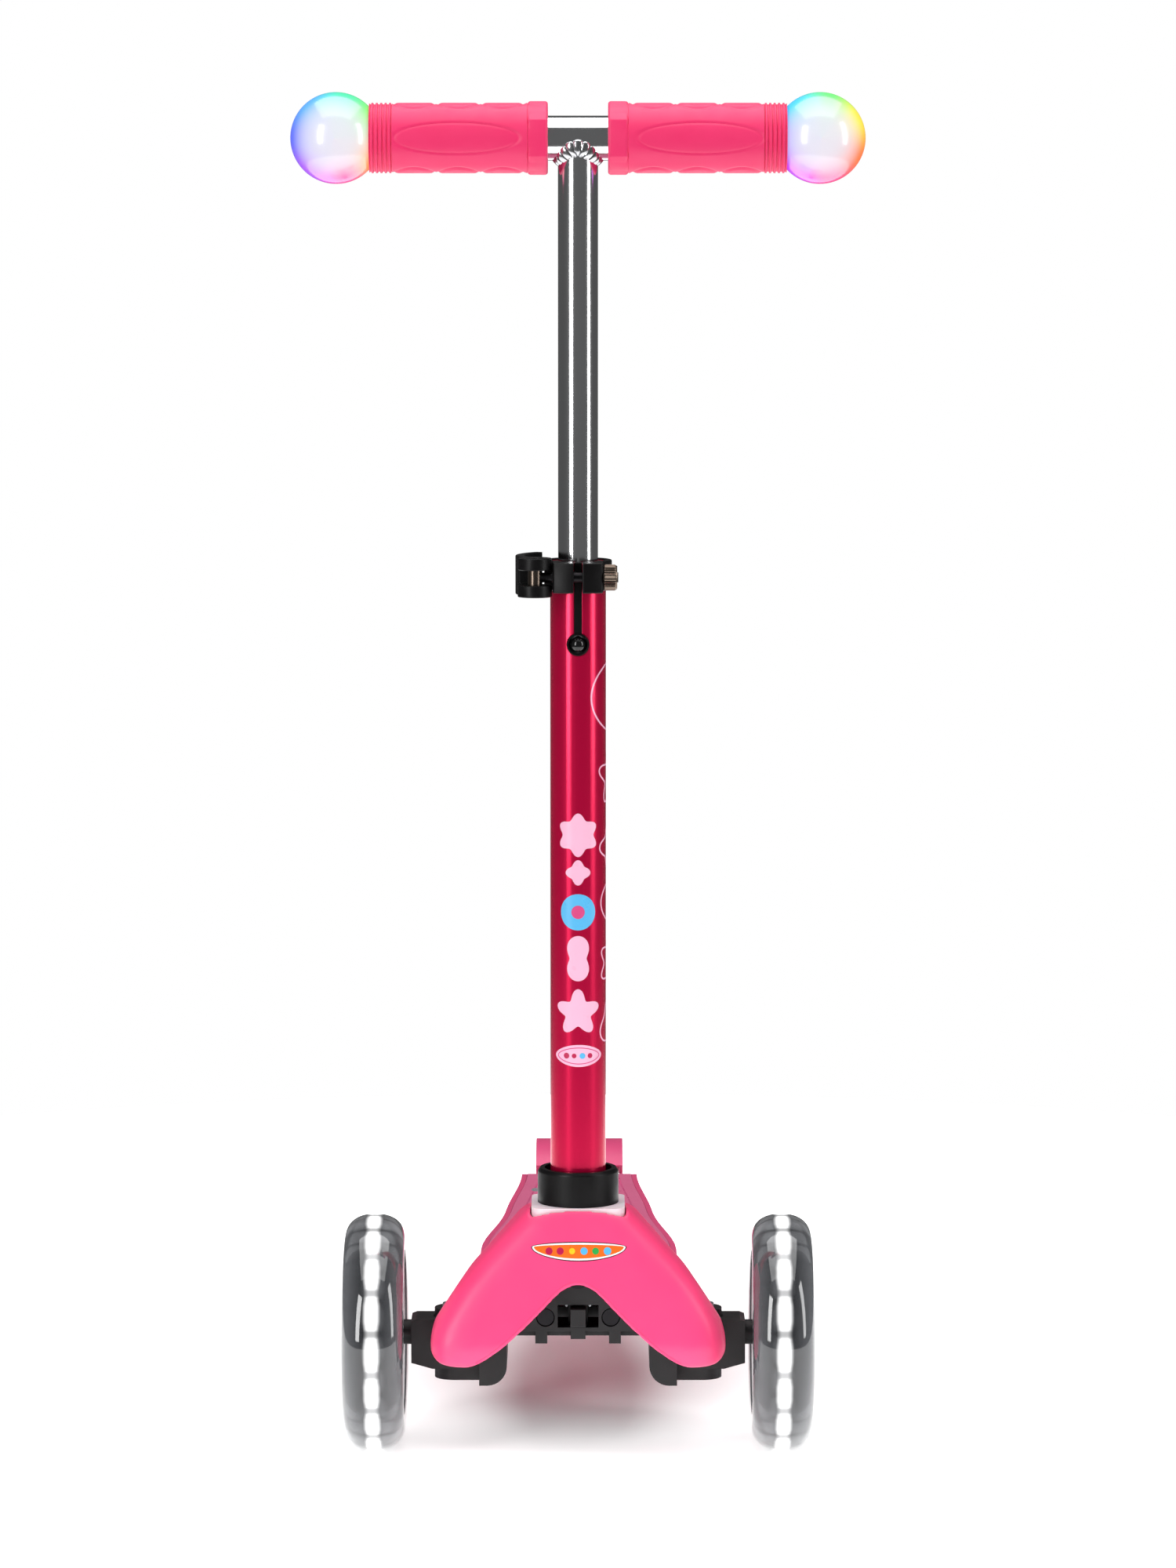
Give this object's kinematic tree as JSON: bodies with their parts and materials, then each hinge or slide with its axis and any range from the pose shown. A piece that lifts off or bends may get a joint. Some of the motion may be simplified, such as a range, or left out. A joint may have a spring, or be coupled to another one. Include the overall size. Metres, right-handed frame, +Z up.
{
  "type": "kick scooter",
  "caption": "Child's lean-to-steer kick scooter with a telescopic T-bar, light-up front wheels, glowing globe grips, a flat deck and a rear press brake.",
  "frame": {"origin": "middle of the footprint on the ground", "axes": "+Z up, +Y towards the rear, +X towards the rider's left"},
  "size_m": [0.2864, 0.56, 0.6867],
  "materials": {
    "pink_plastic": "satin moulded plastic",
    "deep_pink_plastic": "satin moulded plastic",
    "mat_pink": "soft printed mat",
    "black_plastic": "glass-filled nylon",
    "gasket": "soft pale rubber",
    "steel": "zinc-plated steel",
    "brass": "sintered bronze bush",
    "polished_aluminium": "polished",
    "magenta_tube": "anodised",
    "grip_rubber": "soft moulded rubber",
    "smoke_tyre": "clear smoky polyurethane",
    "white_plastic": "moulded",
    "light_plastic": "translucent light pipe",
    "globe_plastic": "milky translucent",
    "bronze_nut": "dark knurled",
    "board": "light module"
  },
  "bodies": {
    "base": {"deck": "pink_plastic", "deck_mat": "mat_pink", "deck_screws": "steel", "front_cover": "pink_plastic", "cover_gasket": "gasket", "chassis_body": "black_plastic", "chassis_base": "black_plastic", "chassis_screws": "steel", "lean_pin": "steel", "kingpins": "steel", "steering_springs": "steel", "rear_axle": "steel", "rear_axle_fittings": "steel", "brake_pin": "steel", "brake_spring": "steel"},
    "steering_head": {"steering_head": "black_plastic", "head_bushes": "brass", "button_spring": "steel"},
    "release_button": {"release_button": "black_plastic"},
    "tie_rod": {"tie_rod": "black_plastic"},
    "knuckle_left": {"knuckle_left": "black_plastic", "axle_stud_left": "steel", "axle_nut_left": "steel"},
    "knuckle_right": {"knuckle_right": "black_plastic", "axle_stud_right": "steel", "axle_nut_right": "steel"},
    "front_wheel_left": {"front_tyre_left": "smoke_tyre", "front_hub_left": "white_plastic", "light_ring_left": "light_plastic", "wheel_bearings_left": "steel", "hub_cap_left": "white_plastic"},
    "front_wheel_right": {"front_tyre_right": "smoke_tyre", "front_hub_right": "white_plastic", "light_ring_right": "light_plastic", "wheel_bearings_right": "steel", "hub_cap_right": "white_plastic"},
    "rear_wheel": {"rear_tyre": "smoke_tyre", "rear_hub": "white_plastic", "rear_bearings": "steel"},
    "brake": {"brake_fender": "deep_pink_plastic"},
    "lower_bar": {"lower_tube": "magenta_tube", "tube_plug": "black_plastic", "guide_shim": "black_plastic", "clamp_collar": "black_plastic", "clamp_bolt": "steel", "clamp_nut": "bronze_nut", "barrel_pin": "steel"},
    "clamp_lever": {"clamp_lever": "black_plastic"},
    "ball_button": {"ball_button": "black_plastic"},
    "upper_bar": {"upper_tube": "polished_aluminium", "upper_plug": "black_plastic", "crossbar": "polished_aluminium", "weld_bead": "polished_aluminium", "grip_left": "grip_rubber", "grip_right": "grip_rubber", "light_modules": "board"},
    "light_left": {"light_globe_left": "globe_plastic"},
    "light_right": {"light_globe_right": "globe_plastic"}
  },
  "joints": [
    {"name": "lean", "type": "hinge", "parent": "base", "child": "steering_head", "pos_m": [0, -0.22, 0.095], "axis": [0, 1, 0], "range_deg": [-10, 10], "stiffness_Nm_per_rad": 60, "deforming": ["cover_gasket", "steering_springs"]},
    {"name": "tie_rod_slide", "type": "slide", "parent": "base", "child": "tie_rod", "axis": [1, 0, 0], "range_m": [-0.0055, 0.0055]},
    {"name": "steer_left", "type": "hinge", "parent": "base", "child": "knuckle_left", "pos_m": [0.063, -0.22, 0.06], "axis": [0, 0, 1], "range_deg": [-12.5, 12.5]},
    {"name": "steer_right", "type": "hinge", "parent": "base", "child": "knuckle_right", "pos_m": [-0.063, -0.22, 0.06], "axis": [0, 0, 1], "range_deg": [-12.5, 12.5]},
    {"name": "front_wheel_left_spin", "type": "hinge", "parent": "knuckle_left", "child": "front_wheel_left", "pos_m": [0.1033, -0.22, 0.06], "axis": [1, 0, 0], "continuous": true},
    {"name": "front_wheel_right_spin", "type": "hinge", "parent": "knuckle_right", "child": "front_wheel_right", "pos_m": [-0.1033, -0.22, 0.06], "axis": [1, 0, 0], "continuous": true},
    {"name": "rear_wheel_spin", "type": "hinge", "parent": "base", "child": "rear_wheel", "pos_m": [0, 0.218, 0.04], "axis": [1, 0, 0], "continuous": true},
    {"name": "brake_press", "type": "hinge", "parent": "base", "child": "brake", "pos_m": [0, 0.172, 0.06], "axis": [-1, 0, 0], "range_deg": [0, 3], "stiffness_Nm_per_rad": 12, "springref_deg": -1.15, "deforming": ["brake_spring"]},
    {"name": "release_button_press", "type": "slide", "parent": "steering_head", "child": "release_button", "axis": [0, 1, 0], "range_m": [0, 0.003], "stiffness_N_per_m": 800, "springref_m": -0.001, "deforming": ["button_spring"]},
    {"name": "t_bar_pull_out", "type": "slide", "parent": "steering_head", "child": "lower_bar", "axis": [0, 0, 1], "range_m": [0, 0.1]},
    {"name": "clamp_lever_open", "type": "hinge", "parent": "lower_bar", "child": "clamp_lever", "pos_m": [-0.0215, -0.241, 0.4463], "axis": [0, 0, 1], "range_deg": [0, 120]},
    {"name": "ball_button_press", "type": "slide", "parent": "lower_bar", "child": "ball_button", "axis": [0, 1, 0], "range_m": [0, 0.0022], "stiffness_N_per_m": 800, "springref_m": -0.001},
    {"name": "height_adjust", "type": "slide", "parent": "lower_bar", "child": "upper_bar", "axis": [0, 0, 1], "range_m": [-0.185, 0]},
    {"name": "light_switch_left", "type": "slide", "parent": "upper_bar", "child": "light_left", "axis": [-1, 0, 0], "range_m": [0, 0.0015], "stiffness_N_per_m": 1500, "springref_m": -0.0005},
    {"name": "light_switch_right", "type": "slide", "parent": "upper_bar", "child": "light_right", "axis": [1, 0, 0], "range_m": [0, 0.0015], "stiffness_N_per_m": 1500, "springref_m": -0.0005}
  ],
  "couplings": [
    {"joint": "tie_rod_slide", "follows": "lean", "m_per_rad": -0.03},
    {"joint": "steer_left", "follows": "lean", "ratio": 1.2},
    {"joint": "steer_right", "follows": "lean", "ratio": 1.2}
  ]
}
